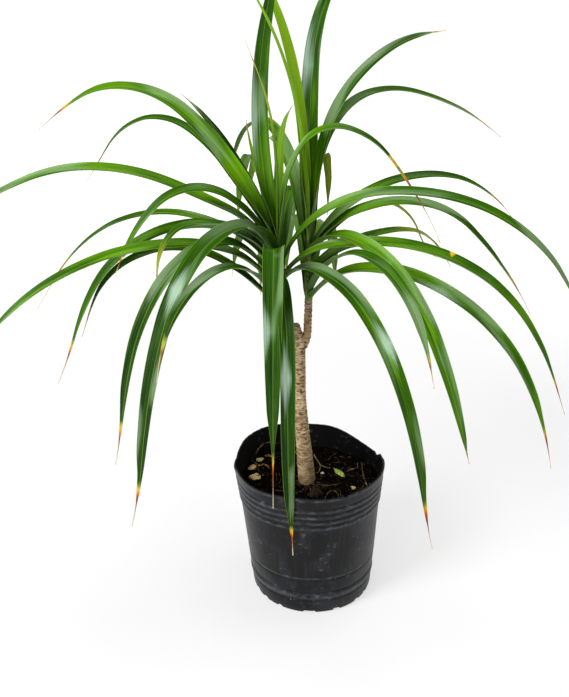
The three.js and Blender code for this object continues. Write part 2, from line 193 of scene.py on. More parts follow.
def make_mesh(name, points, faces, material):
    mesh = bpy.data.meshes.new(name)
    mesh.from_pydata([tuple(map(float, p)) for p in points], [], faces)
    mesh.materials.append(material)
    return mesh


def put(name, data):
    """An object in the scene that holds this mesh, light or camera."""
    made = bpy.data.objects.new(name, data)
    scene.collection.objects.link(made)
    return made


def add_piece(name, points, faces, material, slot, nodes=()):
    """A smooth mesh on the pot's body that stands for these nodes. The slot it is given is not used."""
    piece = put(name, make_mesh(name, points, faces, material))
    piece.data.shade_smooth()
    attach(piece, "root")
    if nodes:
        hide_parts(*nodes)
    return piece


def keep_modified(piece):
    """Swaps a piece's mesh for what its modifiers make of it, and removes them."""
    made = bpy.data.meshes.new_from_object(piece.evaluated_get(bpy.context.evaluated_depsgraph_get()))
    piece.modifiers.clear()
    piece.data = made
    made.shade_smooth()
    return made


def give(mesh, name, vectors):
    """Stores a vector at each point of a mesh, for its material to read."""
    store = mesh.attributes.new(name, "FLOAT_VECTOR", "POINT")
    store.data.foreach_set("vector", np.asarray(vectors, np.float32).ravel())


def ring_faces(rows, sides, first=0):
    """Quads between rows of points round a ring, with a cap on each end."""
    faces = []
    for k in range(rows - 1):
        for i in range(sides):
            a = first + k * sides + i
            b = first + k * sides + (i + 1) % sides
            faces.append((a, b, b + sides, a + sides))
    faces.append(tuple(first + i for i in reversed(range(sides))))
    faces.append(tuple(first + (rows - 1) * sides + i for i in range(sides)))
    return faces


def ruffle(x, y, z):
    """Smooth noise, about -1 to 1, at a place in no unit."""
    return noise.noise(Vector((x, y, z)))


def smoothstep(x):
    x = min(max(x, 0.0), 1.0)
    return x * x * (3 - 2 * x)


def lerp(a, b, t):
    return a + (b - a) * t


def turns(sides):
    """The angles of evenly spaced points round a ring."""
    return [2 * math.pi * i / sides for i in range(sides)]


def heading(bearing, slope=0.0):
    """The unit vector that points along a bearing and up a slope, both in degrees."""
    level = math.cos(math.radians(slope))
    x, y = math.cos(math.radians(bearing)) * level, math.sin(math.radians(bearing)) * level
    return Vector((x, y, math.sin(math.radians(slope))))


def pot_radius(z):
    return lerp(BASE_RADIUS, RIM_RADIUS, z / POT_HEIGHT)


def pot_relief(z):
    """How far ribs, grooves and beads put the outer wall from its plain cone."""
    out = BAND_STEP * smoothstep((z - BAND_BOTTOM) / 0.0012)
    for at, depth, half in GROOVES:
        out -= depth * math.exp(-(((z - at) / half) ** 2))
    for at, rise, half in BEADS:
        out += rise * math.exp(-(((z - at) / half) ** 2))
    return out


def hump(bearing, at, reach):
    """1 at a bearing, and down to 0 this many degrees to either side."""
    off = abs((bearing - at + 180) % 360 - 180)
    return 0.5 + 0.5 * math.cos(math.pi * off / reach) if off < reach else 0.0


def rim_lift(bearing, z):
    """How far the crooked rim lifts the wall at this bearing and height."""
    waves = sum(rise * hump(bearing, at, reach) for at, reach, rise in RIM_WAVES)
    nicks = sum(rise * hump(bearing, at, reach) for at, reach, rise in RIM_NICKS)
    cut = RAW_CUT * ruffle(bearing * 0.35, 0.0, 7.0)
    wide = max(0.0, 1 - (POT_HEIGHT - z) / RIM_WAVE_DEPTH)
    near = max(0.0, 1 - (POT_HEIGHT - z) / RIM_NICK_DEPTH)
    return waves * wide * wide + (nicks + cut) * near


def pot_rows():
    """Heights for the wall's rows, close together where the relief turns."""
    rows = set(np.linspace(0.0, POT_HEIGHT, 34).round(5))
    for at, _, half in GROOVES + BEADS:
        rows |= {round(at + half * step, 5) for step in (-1.6, -0.9, -0.4, 0, 0.4, 0.9, 1.6)}
    rows |= {BAND_BOTTOM + step * 0.0003 for step in range(5)}
    return sorted(z for z in rows if z <= POT_HEIGHT)


def turn_pot():
    """The shell's rings from the bottom's middle up the outside, and down the inside."""
    profile = [(0.0005, 0.0), (BASE_RADIUS - 0.004, 0.0), (BASE_RADIUS - 0.0012, 0.0004)]
    profile += [(pot_radius(z) + pot_relief(z), z) for z in pot_rows() if z > 0.001]
    profile += [(pot_radius(z) - POT_WALL, z) for z in np.linspace(POT_HEIGHT, POT_WALL, 26)]
    profile += [(BASE_RADIUS - 0.006, POT_WALL), (0.0005, POT_WALL)]
    points = []
    for radius, z in profile:
        for turn in turns(POT_SIDES):
            x, y = math.cos(turn), math.sin(turn)
            soft = SAG * ruffle(x * 2.2, y * 2.2, z * 14)
            out = radius + soft * (radius > BASE_RADIUS - 0.003) * (0.3 + z / POT_HEIGHT)
            lean = POT_LEAN * z / POT_HEIGHT
            points.append((out * x + lean, out * y, z + rim_lift(math.degrees(turn), z)))
    return points, ring_faces(len(profile), POT_SIDES)


def drain_cutters():
    """One arched bar for each drain hole, lying across the wall's bottom edge."""
    points, faces, sides = [], [], 20
    for bearing, width, height in DRAINS:
        first = len(points)
        for reach in (BASE_RADIUS - DRAIN_DEPTH, BASE_RADIUS + DRAIN_DEPTH):
            for turn in turns(sides):
                side = heading(bearing + 90) * math.cos(turn) * width / 2
                points.append(heading(bearing) * reach + side + Vector((0, 0, math.sin(turn) * height)))
        faces += ring_faces(2, sides, first)
    return put("drain_cutters", make_mesh("drain_cutters", points, faces, pot_plastic))


def pot_looks(start):
    """Soft black plastic, dusty and scuffed, with pale rib edges that are part wear and part painted
    highlight, vertical streaks of painted sheen, and white specks.
    """
    place = start.place()
    # Vertical streaks: painted sheen for the highlights on the wall's faint vertical facets
    sheen_streaks = place.stretch(260, 260, 9).cloud(1.0, 4.0)
    smears = place.cloud(38.0, 5.0)
    scuffs = place.stretch(1, 1, 1.6).cloud(150.0, 6.0)
    wear = start.own("wear")
    outside = wear.part(2)
    # Dust in smears, with the pale streaks of painted sheen, on the outside only
    dust_and_sheen = (smears.fade(0.46, 0.7) * 0.55 + sheen_streaks.fade(0.5, 0.72) * 0.33) * outside
    # Bead edges, pale partly from wear and partly as painted highlight
    worn_and_lit_edge = wear.part(0) * scuffs.fade(0.3, 0.66)
    scratched = scuffs.fade(0.59, 0.66) * smears.fade(0.45, 0.6)
    flecks = place.specks(330.0).fade(0.13, 0.07) * place.cloud(90.0, 2.0).fade(0.6, 0.68)
    colour = dust_and_sheen.pick((2, 2, 3), (42, 43, 49)).coated(
        (scratched * 0.4, (92, 93, 95)),
        (worn_and_lit_edge * 0.3, (106, 110, 118)),
        (flecks * wear.part(1), (205, 203, 196)))
    rough = 0.26 + 0.2 * smears + 0.1 * scuffs + 0.2 * (1 - outside)
    relief = 0.6 * smears + 0.25 * sheen_streaks + 0.15 * scuffs
    return {"Base Color": colour, "Roughness": rough, "Normal": relief.bump(0.0009)}


def pot_wear_and_highlight(mesh):
    """At each point: the wear and painted highlight on a bead's edge, how many specks gather, and 1
    on the outside.
    """
    wear = []
    for vertex in mesh.vertices:
        x, y, z = vertex.co
        bearing = math.degrees(math.atan2(y, x - POT_LEAN * z / POT_HEIGHT))
        # The height it had before the rim was lifted
        moulded = z - rim_lift(bearing, z - rim_lift(bearing, z))
        edge = max(math.exp(-(((moulded - at) / (half * 1.2)) ** 2)) for at, _, half in BEADS)
        flecked = max(math.exp(-(((moulded - at) / FLECK_REACH) ** 2)) for at in FLECKED_LINES)
        outside = 1.0 if vertex.normal.x * x + vertex.normal.y * y > 0 else 0.0
        wear.append((edge * outside, flecked, outside))
    return wear


pot_plastic = finish("black_pot_plastic", 0.5, 0.22, pot_looks)
pot = add_piece("nursery_pot", *turn_pot(), pot_plastic, "pot", ["pot"])
cutters = drain_cutters()
punch = pot.modifiers.new("Drains", "BOOLEAN")
punch.object = cutters
punch.solver = "EXACT"
pot_mesh = keep_modified(pot)
pot_mesh.set_sharp_from_angle(angle=MOULD_EDGE)
bpy.data.objects.remove(cutters)
give(pot_mesh, "wear", pot_wear_and_highlight(pot_mesh))

# The soil is a dark, fibrous potting mix of peat and bark, filled to 30 mm below the rim. It is
# one body with a rough top, and loose crumbs and root fibres lie over it.
SOIL_TOP = 0.141
SOIL_WALL = (0.13, 0.0018)
SOIL_GAP = 0.0004
SOIL_RINGS = 66
SOIL_WALL_RINGS = 24
SOIL_SIDES = 170
SOIL_MIDDLE = -0.004
SOIL_REACH = 0.081
# Lumps, grit and fine crumb of the mix: how high, how many to a metre, and a seed
SOIL_GRAIN = [(0.0026, 95, 2.0), (0.0016, 260, 5.0), (0.0008, 620, 9.0)]
CRUMBS = 950
FIBRES = 54
CANE_FOOT = -0.0075


def soil_height(x, y):
    """The soil's uneven top, as the frame has it, in metres."""
    swell = 0.0022 * math.sin(x / 0.019 + 0.6) * math.cos(y / 0.015)
    crumb = 0.0011 * math.sin((x + y) / 0.008) * math.cos((x - y) / 0.01)
    return SOIL_TOP + swell + crumb - 0.003 * (math.hypot(x, y) / RIM_RADIUS) ** 4


def rough_soil(x, y):
    """The same with the lumps and pits of the mix on it."""
    grain = [rise * ruffle(x * many, y * many, seed) for rise, many, seed in SOIL_GRAIN]
    return soil_height(x, y) + sum(grain)


def pour_soil():
    """The body's rings from its middle out over the top, down the wall and in at the base."""
    edge = pot_radius(SOIL_TOP) - POT_WALL - SOIL_GAP
    lean = POT_LEAN * SOIL_TOP / POT_HEIGHT
    points = []
    for k in range(SOIL_RINGS):
        radius = 0.0006 + (edge - 0.0006) * (k / (SOIL_RINGS - 1)) ** 0.75
        for turn in turns(SOIL_SIDES):
            x, y = radius * math.cos(turn) + lean, radius * math.sin(turn)
            points.append((x, y, rough_soil(x, y)))
    for z in np.linspace(*SOIL_WALL, SOIL_WALL_RINGS):
        for turn in turns(SOIL_SIDES):
            x, y = math.cos(turn), math.sin(turn)
            dent = 0.0008 * abs(ruffle(x * 20, y * 20, z * 300))
            radius = pot_radius(z) - POT_WALL - SOIL_GAP - dent
            points.append((radius * x + POT_LEAN * z / POT_HEIGHT, radius * y, z))
    faces = [tuple(reversed(face)) for face in ring_faces(SOIL_RINGS + SOIL_WALL_RINGS, SOIL_SIDES)]
    return points, faces


def soil_looks(start):
    """Near-black peat with brown crumbs and a few straw-coloured flecks."""
    place = start.place()
    lumps = place.cloud(120.0, 5.0)
    grit = place.cloud(520.0, 4.0)
    straw = place.specks(300.0).fade(0.16, 0.08) * grit.fade(0.5, 0.7)
    low = place.part(2).fade(0.125, 0.1)
    colour = lumps.ramp((0.42, 3, 2, 2), (0.6, 13, 10, 7), (0.78, 46, 34, 22)).coated(
        (grit.fade(0.63, 0.74), (84, 64, 40)),
        (straw, (150, 125, 84)),
        (low, grit.fade(0.35, 0.65).pick((34, 25, 16), (104, 84, 56))))
    return {"Base Color": colour, "Normal": (lumps + 0.6 * grit).bump(0.0016)}


soil_mix = finish("potting_mix", 0.95, 0.05, soil_looks)
add_piece("soil_body", *pour_soil(), soil_mix, "soil", ["soil"])

ICO = (1 + math.sqrt(5)) / 2
CORNERS = [(s, t * ICO) for s in (-1, 1) for t in (-1, 1)]
LUMP_POINTS = [(0, s, t) for s, t in CORNERS] + [(s, t, 0) for s, t in CORNERS]
LUMP_POINTS += [(t, 0, s) for s, t in CORNERS]


def hull_faces(points):
    """The triangles of the convex solid round these points, pointing out."""
    points = [Vector(p) for p in points]
    faces = []
    for a in range(len(points)):
        for b in range(a + 1, len(points)):
            for c in range(b + 1, len(points)):
                normal = (points[b] - points[a]).cross(points[c] - points[a])
                sides = [normal.dot(p - points[a]) for p in points]
                if max(sides) < 1e-6:
                    faces.append((a, b, c))
                elif min(sides) > -1e-6:
                    faces.append((a, c, b))
    return faces


LUMP_FACES = hull_faces(LUMP_POINTS)


def on_soil(chance, reach):
    """A random place on the soil, clear of the pot's wall."""
    turn = chance.uniform(0, 2 * math.pi)
    radius = reach * math.sqrt(chance.random())
    return radius * math.cos(turn) + SOIL_MIDDLE, radius * math.sin(turn)


def spun(x, y, turn):
    """A point turned about the origin."""
    return x * math.cos(turn) - y * math.sin(turn), x * math.sin(turn) + y * math.cos(turn)


def crumble():
    """Many small uneven lumps of bark and peat, each with its own tint."""
    chance = random.Random(11)
    points, faces, tints = [], [], []
    for _ in range(CRUMBS):
        size = 0.0005 + 0.002 * chance.random() ** 3
        x, y = on_soil(chance, SOIL_REACH)
        middle = Vector((x, y, rough_soil(x, y) + size * 0.3))
        stretch = Vector((chance.uniform(0.7, 1.6), chance.uniform(0.6, 1.1), chance.uniform(0.4, 0.9)))
        spin = chance.uniform(0, math.pi)
        tint = chance.random() ** 2
        first = len(points)
        for p in LUMP_POINTS:
            q = Vector(p) * stretch * size * chance.uniform(0.38, 0.62)
            points.append(middle + Vector((*spun(q.x, q.y, spin), q.z)))
            tints.append((tint, 0.0, 0.0))
        faces += [tuple(first + i for i in face) for face in LUMP_FACES]
    return points, faces, tints


def crumb_looks(start):
    tint = start.own("tint").part(0)
    grain = start.place().cloud(900.0, 3.0)
    colour = tint.ramp((0.0, 6, 4, 3), (0.6, 26, 19, 13), (0.9, 84, 64, 40), (1.0, 158, 128, 84))
    return {"Base Color": (grain * 0.5).pick(colour, (24, 18, 13)), "Normal": grain.bump(0.0004)}


crumb_mix = finish("soil_crumb", 0.92, 0.08, crumb_looks)
crumb_points, crumb_faces, crumb_tints = crumble()
crumbs = add_piece("soil_crumbs", crumb_points, crumb_faces, crumb_mix, "soil")
give(crumbs.data, "tint", crumb_tints)


def smooth_path(knots, steps):
    """Points on one smooth curve through all the knots."""
    knots = [2 * knots[0] - knots[1], *knots, 2 * knots[-1] - knots[-2]]
    path = []
    for k in range(steps + 1):
        place = (len(knots) - 3) * k / steps
        i = min(int(place), len(knots) - 4)
        t = place - i
        a, b, c, d = knots[i:i + 4]
        path.append(0.5 * (2 * b + (c - a) * t + (2 * a - 5 * b + 4 * c - d) * t * t
                           + (3 * b - a - 3 * c + d) * t ** 3))
    return path


def strands(rows):
    """Round closed strands in one mesh, each from a path, the radius at its points, and sides."""
    points, faces = [], []
    for path, radii, sides in rows:
        faces += ring_faces(len(path), sides, len(points))
        across = Vector((0.3, 0.5, 0.8))
        for k, middle in enumerate(path):
            along = (path[min(k + 1, len(path) - 1)] - path[max(k - 1, 0)]).normalized()
            across = (across - along * across.dot(along)).normalized()
            other = along.cross(across)
            for turn in turns(sides):
                points.append(middle + radii[k] * (math.cos(turn) * across + math.sin(turn) * other))
    return points, faces


# Roots that show in the pot: x, y and height above the soil of each knot, then the radius
SHOWN_ROOTS = [
    ([(-0.079, 0.045, 0.004), (-0.073, 0.038, 0.003), (-0.067, 0.031, 0.003), (-0.062, 0.034, 0.002),
      (-0.057, 0.028, 0.003), (-0.052, 0.022, 0.001)], 0.0011),
    ([(-0.072, 0.046, 0.012), (-0.069, 0.053, 0.016), (-0.062, 0.06, 0.018), (-0.052, 0.066, 0.016),
      (-0.046, 0.069, 0.011)], 0.0005),
    ([(0.06, 0.037, 0.004), (0.061, 0.015, 0.003), (0.064, -0.006, 0.002),
      (0.0655, -0.012, 0.001)], 0.0007),
    ([(0.055, 0.04, 0.003), (0.0545, 0.026, 0.002)], 0.0006),
    ([(0.014, -0.04, 0.001), (0.018, -0.031, 0.004), (0.024, -0.028, 0.005), (0.029, -0.031, 0.003),
      (0.031, -0.037, 0.001)], 0.0006),
    ([(0.012, -0.013, 0.001), (0.018, -0.019, 0.004), (0.026, -0.011, 0.001)], 0.0007),
    ([(0.04, 0.018, 0.002), (0.046, 0.023, 0.003), (0.053, 0.027, 0.002)], 0.0008),
    ([(-0.062, 0.058, 0.001), (-0.056, 0.051, 0.004), (-0.05, 0.05, 0.002)], 0.0014),
    ([(-0.036, -0.03, 0.002), (-0.028, -0.02, 0.004), (-0.024, -0.01, 0.003)], 0.0006),
]


def lay_fibres():
    """The roots that show, then many thin fibres over the soil and at the cane's foot."""
    chance = random.Random(5)
    rows = []
    for knots, radius in SHOWN_ROOTS:
        path = smooth_path([Vector((x, y, soil_height(x, y) + up)) for x, y, up in knots], 18)
        slim = [1.15 - 0.7 * abs(k / 9 - 1) ** 3 for k in range(19)]
        rows.append((path, [radius * (share + chance.uniform(-0.12, 0.12)) for share in slim], 6))
    for n in range(FIBRES):
        foot = n % 3 == 0
        x, y = on_soil(chance, SOIL_REACH - 0.003)
        if foot:
            turn = chance.uniform(-2.9, 0.3)
            x, y = CANE_FOOT + 0.012 * math.cos(turn), 0.012 * math.sin(turn)
        way = chance.uniform(0, 2 * math.pi) if not foot else turn + chance.uniform(-0.5, 0.5)
        span = chance.uniform(0.002, 0.006)
        knots = []
        for _ in range(5):
            lift = chance.uniform(0.0, 0.0022) + 0.0004
            knots.append(Vector((x, y, rough_soil(x, y) + lift)))
            x += span * math.cos(way)
            y += span * math.sin(way)
            way += chance.uniform(-0.9, 0.9)
            if math.hypot(x - SOIL_MIDDLE, y) > SOIL_REACH:
                way += math.pi
        rows.append((smooth_path(knots, 10), [chance.uniform(0.00012, 0.0003)] * 11, 5))
    return strands(rows)


def fibre_looks(start):
    grain = start.place().cloud(240.0, 4.0)
    colour = grain.ramp((0.38, 30, 22, 13), (0.56, 96, 76, 44), (0.76, 168, 144, 96))
    return {"Base Color": colour, "Normal": start.place().cloud(1500.0).bump(0.0003)}


fibre = finish("root_fibre", 0.85, 0.3, fibre_looks)
add_piece("root_fibres", *lay_fibres(), fibre, "soil")

# Loose bits lie on the soil: split bark chips, a fallen green shoot tip, a clod of matted roots
# and a grain of white perlite. Each is a lump shaped by its own rule and sunk a little.
SINK = 0.35
# Name, place, size, bearing and tilt in degrees, kind
BITS = [
    ("bark_chip_1", (-0.072, 0.008), (0.027, 0.013, 0.0035), 115, 14, "bark"),
    ("bark_chip_2", (-0.076, 0.03), (0.014, 0.008, 0.003), 60, -12, "bark"),
    ("bark_chip_3", (-0.066, 0.05), (0.015, 0.007, 0.003), 35, 10, "bark"),
    ("bark_chip_4", (0.047, -0.014), (0.009, 0.005, 0.0025), 160, 8, "bark"),
    ("fallen_shoot_tip", (0.031, 0.017), (0.027, 0.009, 0.006), -62, 0, "bud"),
    ("soil_clod", (0.003, -0.029), (0.017, 0.015, 0.009), 20, 0, "clod"),
    ("perlite_grain", (0.011, 0.014), (0.005, 0.004, 0.0035), 0, 0, "perlite"),
]
BIT_RINGS = 18
BIT_SIDES = 28


def bit_shape(kind, out, turn, seed):
    """Half-sizes along, across and up for a bit's surface at a place from tip to tip."""
    ring = math.sqrt(max(0.0, 1 - out * out))
    across, up = math.cos(turn), math.sin(turn)
    place = Vector((out * 1.6, across * ring * 1.2, up * ring)) + Vector((seed, seed, 0))
    if kind == "bark":
        ring = (1 - abs(out) ** 3.2) ** 0.75
        square = 1 / max(abs(across), abs(up)) ** 0.8
        ring *= square * (1 + 0.3 * noise.noise(place * 1.7) + 0.1 * noise.noise(place * 6))
        return out * (1 + 0.12 * noise.noise(place * 2.3)), across * ring, up * ring
    if kind == "bud":
        ring = math.sin(math.pi * (0.5 + 0.5 * out) ** 1.5) ** 0.8
        scale = 1 + 0.1 * math.sin(turn * 5 + out * 4)
        return out, across * ring * scale, up * ring * scale
    rough = 0.35 if kind == "clod" else 0.22
    lump = 1 + rough * noise.noise(place * 2.2) + 0.12 * noise.noise(place * 7)
    return out * lump, across * ring * lump, up * ring * lump


def shape_bit(at, size, bearing, tilt, kind, seed):
    """Rings of points from tip to tip of a bit, tilted, turned and set into the soil."""
    points = []
    spin, lean = math.radians(bearing), math.radians(tilt)
    for k in range(BIT_RINGS + 1):
        out = -math.cos(math.pi * (k + 0.15) / (BIT_RINGS + 0.3))
        for turn in turns(BIT_SIDES):
            x, y, z = (s * h / 2 for s, h in zip(bit_shape(kind, out, turn, seed), size))
            x, z = spun(x, z, -lean)
            x, y = spun(x, y, spin)
            points.append((x + at[0], y + at[1], z + soil_height(*at) + size[2] * (0.5 - SINK)))
    return points, ring_faces(BIT_RINGS + 1, BIT_SIDES)


def bark_looks(start):
    """Dry bark: tan with darker splits along it and sooty patches."""
    place = start.place()
    grain = place.stretch(1.0, 2.6, 1.0).cloud(420.0, 5.0)
    stain = place.cloud(110.0, 3.0)
    colour = grain.ramp((0.32, 112, 88, 52), (0.48, 200, 174, 112), (0.7, 236, 218, 164))
    colour = stain.fade(0.56, 0.7).pick(colour, (96, 70, 42))
    return {"Base Color": colour, "Normal": grain.bump(0.0008)}


def bud_looks(start):
    """A pale green tip with fine ribs along it."""
    place = start.place()
    ribs = place.stretch(1.0, 0.45, 1.0).cloud(620.0, 3.0)
    colour = ribs.ramp((0.35, 112, 138, 44), (0.55, 158, 180, 72), (0.75, 206, 212, 120))
    return {"Base Color": colour, "Normal": ribs.bump(0.0005)}


def clod_looks(start):
    place = start.place()
    grit = place.cloud(620.0, 5.0)
    colour = grit.ramp((0.38, 18, 13, 10), (0.56, 44, 32, 22), (0.72, 104, 78, 50))
    return {"Base Color": colour, "Normal": grit.bump(0.0014)}


def perlite_looks(start):
    pores = start.place().specks(900.0)
    colour = pores.fade(0.1, 0.5).pick((176, 170, 158), (242, 240, 234))
    return {"Base Color": colour, "Normal": pores.bump(0.0005)}


BIT_FINISHES = {
    "bark": finish("dry_bark", 0.88, 0.25, bark_looks),
    "bud": finish("pale_shoot_tip", 0.5, 0.5, bud_looks),
    "clod": finish("root_clod", 0.95, 0.2, clod_looks),
    "perlite": finish("white_perlite", 0.9, 0.5, perlite_looks),
}
BIT_SLOTS = {"bark": "bark", "bud": "fallen_shoot_tip", "clod": "soil", "perlite": "perlite"}
for seed, (name, at, size, bearing, tilt, kind) in enumerate(BITS):
    shape = shape_bit(at, size, bearing, tilt, kind, seed * 3.7)
    add_piece("loose_" + name, *shape, BIT_FINISHES[kind], BIT_SLOTS[kind], [name])

# The cane is a woody stem ringed with leaf scars. It was cut back once, which left a blunt
# healed stub, and two shoots bent out below the cut, each to carry a head of leaves.
# Each row is a place on a limb's middle line, then its radius there.
TRUNK = [(-0.005, 0, 0.084, 0.007), (-0.0065, 0, 0.12, 0.01), (-0.0075, 0, 0.141, 0.0106),
         (-0.0128, 0, 0.2, 0.0086), (-0.016, 0, 0.24, 0.0074), (-0.017, 0, 0.27, 0.0068),
         (-0.0176, 0, 0.318, 0.0066), (-0.02, 0, 0.334, 0.0058), (-0.022, 0, 0.344, 0.005),
         (-0.0224, 0, 0.3475, 0.0034)]
LEFT_SHOOT = [(-0.0175, 0, 0.312, 0.0045), (-0.024, -0.0035, 0.32, 0.0048),
              (-0.033, -0.009, 0.334, 0.0046), (-0.04, -0.014, 0.352, 0.0046),
              (-0.042, -0.016, 0.377, 0.0045), (-0.042, -0.016, 0.469, 0.0016)]
RIGHT_SHOOT = [(-0.0175, 0, 0.314, 0.0045), (-0.012, 0.0015, 0.322, 0.0048),
               (-0.009, 0.003, 0.334, 0.0047), (-0.0085, 0.005, 0.352, 0.0046),
               (-0.008, 0.006, 0.377, 0.0045), (-0.008, 0.006, 0.469, 0.0016)]
CANE_VOXEL = 0.0008
SCAR_PITCH = 0.0052
SCAR_RING = 0.00022
# How rough the scars are low on the cane, and how much more where the bark is bare
SCAR_ROUGH = (0.0001, 0.00028)
BARK_ROUGH = 0.00012
BARE_FROM = 0.145


def limb(rows, steps):
    """A limb's path, the radius at its points, and its sides."""
    knots = np.linspace(0, len(rows) - 1, steps + 1)
    radii = np.interp(knots, range(len(rows)), [row[3] for row in rows])
    return smooth_path([Vector(row[:3]) for row in rows], steps), radii.tolist(), 32


def cane_relief(p):
    """Rings of leaf scars, swollen a little and broken up round the cane, and its dry bark."""
    centre_x = float(np.interp(p.z, [row[2] for row in TRUNK], [row[0] for row in TRUNK]))
    turn = math.atan2(p.y, p.x - centre_x)
    warp = 0.8 * ruffle(math.cos(turn) * 1.3, math.sin(turn) * 1.3, p.z * 60)
    ring = math.sin(2 * math.pi * (p.z / SCAR_PITCH + warp))
    scars = ruffle(math.cos(turn) * 3.2, math.sin(turn) * 3.2, p.z * 420)
    bark = ruffle(p.x * 600, p.y * 600, p.z * 600)
    bare = smoothstep((p.z - BARE_FROM) / 0.03)
    return SCAR_RING * ring + (SCAR_ROUGH[0] + SCAR_ROUGH[1] * bare) * scars + BARK_ROUGH * bark


def cane_looks(start):
    """Tan bark with dark broken leaf scars and a browner top."""
    place = start.place()
    height = place.part(2)
    scars = place.stretch(1.0, 1.0, 2.4).cloud(190.0, 4.0)
    rings = place.stretch(0.28, 0.28, 1.6).cloud(300.0, 3.0)
    fine = place.cloud(1300.0, 4.0)
    patches = place.cloud(60.0, 2.0)
    tan = patches.ramp((0.35, 164, 136, 98), (0.55, 190, 164, 124), (0.75, 208, 188, 152))
    speckled = height.fade(0.165, 0.215)
    dark = scars.fade(0.52, 0.58) * (0.35 + 0.65 * speckled)
    sheathed = place.stretch(1.0, 1.0, 0.3).cloud(420.0, 3.0)
    leafy = sheathed.ramp((0.4, 40, 70, 18), (0.6, 104, 136, 52))
    colour = tan.coated(
        (dark * 0.9, (78, 54, 30)),
        (rings.fade(0.56, 0.64) * 0.6, (100, 74, 46)),
        (rings.fade(0.42, 0.34) * 0.6, (222, 202, 166)),
        (fine.fade(0.55, 0.75) * 0.35, (96, 72, 50)),
        (height.fade(0.318, 0.352) * 0.55, (112, 84, 54)),
        (height.fade(0.372, 0.384), leafy),
        (height.fade(0.15, 0.141) * 0.6, (86, 64, 40)))
    relief = 0.6 * scars + 0.5 * rings + 0.35 * fine
    return {"Base Color": colour, "Normal": relief.bump(0.0011)}


cane_bark = finish("cane_bark", 0.82, 0.3, cane_looks)
limbs = [limb(TRUNK, 90), limb(LEFT_SHOOT, 60), limb(RIGHT_SHOOT, 60)]
cane = add_piece("forked_cane", *strands(limbs), cane_bark, "stem", ["stem"])
weld = cane.modifiers.new("Weld", "REMESH")
weld.mode = "VOXEL"
weld.voxel_size = CANE_VOXEL
soften = cane.modifiers.new("Soften", "SMOOTH")
soften.factor = 0.5
soften.iterations = 7
cane_mesh = keep_modified(cane)
cane_skin = [(vertex.co.copy(), vertex.normal.copy()) for vertex in cane_mesh.vertices]
cane_mesh.vertices.foreach_set("co", [c for p, n in cane_skin for c in p + n * cane_relief(p)])

# A thin aerial root leaves the cane low on its right and runs out to the soil, with a short loop
# beside it. Both are round strands that thin towards their tips.
AERIAL_ROOT = [(0.0005, 0.001, 0.176), (0.004, 0.004, 0.168), (0.008, 0.01, 0.158),
               (0.013, 0.018, 0.15), (0.018, 0.026, 0.1435), (0.021, 0.03, 0.141)]
ROOT_LOOP = [(0.006, 0.007, 0.163), (0.0085, 0.006, 0.157), (0.0065, 0.004, 0.151), (0.003, 0.003, 0.15)]


def thin_root(knots, radius):
    """A root's path, its radii, less towards the tip, and its sides."""
    radii = [radius * (1.2 - 0.5 * k / 24) for k in range(25)]
    return smooth_path([Vector(knot) for knot in knots], 24), radii, 8


def root_looks(start):
    grain = start.place().cloud(500.0, 3.0)
    colour = grain.ramp((0.3, 150, 118, 76), (0.7, 206, 180, 132))
    return {"Base Color": colour, "Normal": grain.bump(0.0003)}


aerial_root = finish("aerial_root", 0.75, 0.5, root_looks)
roots = [thin_root(AERIAL_ROOT, 0.0006), thin_root(ROOT_LOOP, 0.0004)]
add_piece("aerial_roots", *strands(roots), aerial_root, "stem")

# Each leaf is a strap of tough, glossy blade that clasps the shoot at its base, opens to a
# shallow channel with a pale midrib, arches over, and dries at the tip to a thin brown thread.
CORE_HEIGHT = 0.092
CORE_TOP_RADIUS = 0.0016
# A blade's base is folded by this angle in the frame, and seated this far outside the core
BASE_FOLD = math.radians(35)
SEAT_GAP = 0.0007
# How far blades to either side roll to face the light from the viewer's side, in degrees
LIGHT_ROLL = 25
LEAF_RINGS = 66
SHEATH_RINGS = 5
SHEATH_LENGTH = 0.02
SHEATH_SLOPE = 86
# Where a blade reaches its full width, and half the width of its dry thread and of the very tip
BROAD_FROM = 0.16
THREAD = 0.00042
TIP = 0.0006
# Half-width at the seat, as a share of the whole, for the lowest leaf of a head and the highest
BASE_SHARES = (0.9, 0.6)
# Half-thickness at the edge and what the middle adds; how far the midrib stands out below and is
# sunk above; and how far the edge ripples
EDGE_SKIN, BODY_SKIN, RIB_BELOW, RIB_ABOVE, RIPPLE = 0.00016, 0.00022, 0.00045, 0.00018, 0.0005
# A leaf's habit where its row doesn't say. A fleck or a painted highlight at 9 is past the tip,
# so none shows.
PLAIN_HABIT = dict(dry=0.1, taper=4.5, slim=0.62, swing=0, roll=(0, 0), crisp=0, young=0, yellow=0,
                   ages=0.4, warm=0, fleck=(9, 1, 0), gloss=(9, 1, 0))
# How far a blade wraps round, in degrees: at its base, once open, and what a dry tip and a sheath add
WRAPPED, OPEN, CURLED, CLASPED = 62, 42, 45, 38
# How far a blade wanders in bearing and in slope, in degrees, where it is free and where it is dry
SWAY = (1.2, 16)
NOD = (1.4, 14)
# Where points lie across a blade, from edge to edge in half-widths
ACROSS = np.array([-1, -0.95, -0.78, -0.52, -0.28, -0.07, 0, 0.07, 0.28, 0.52, 0.78, 0.95, 1])
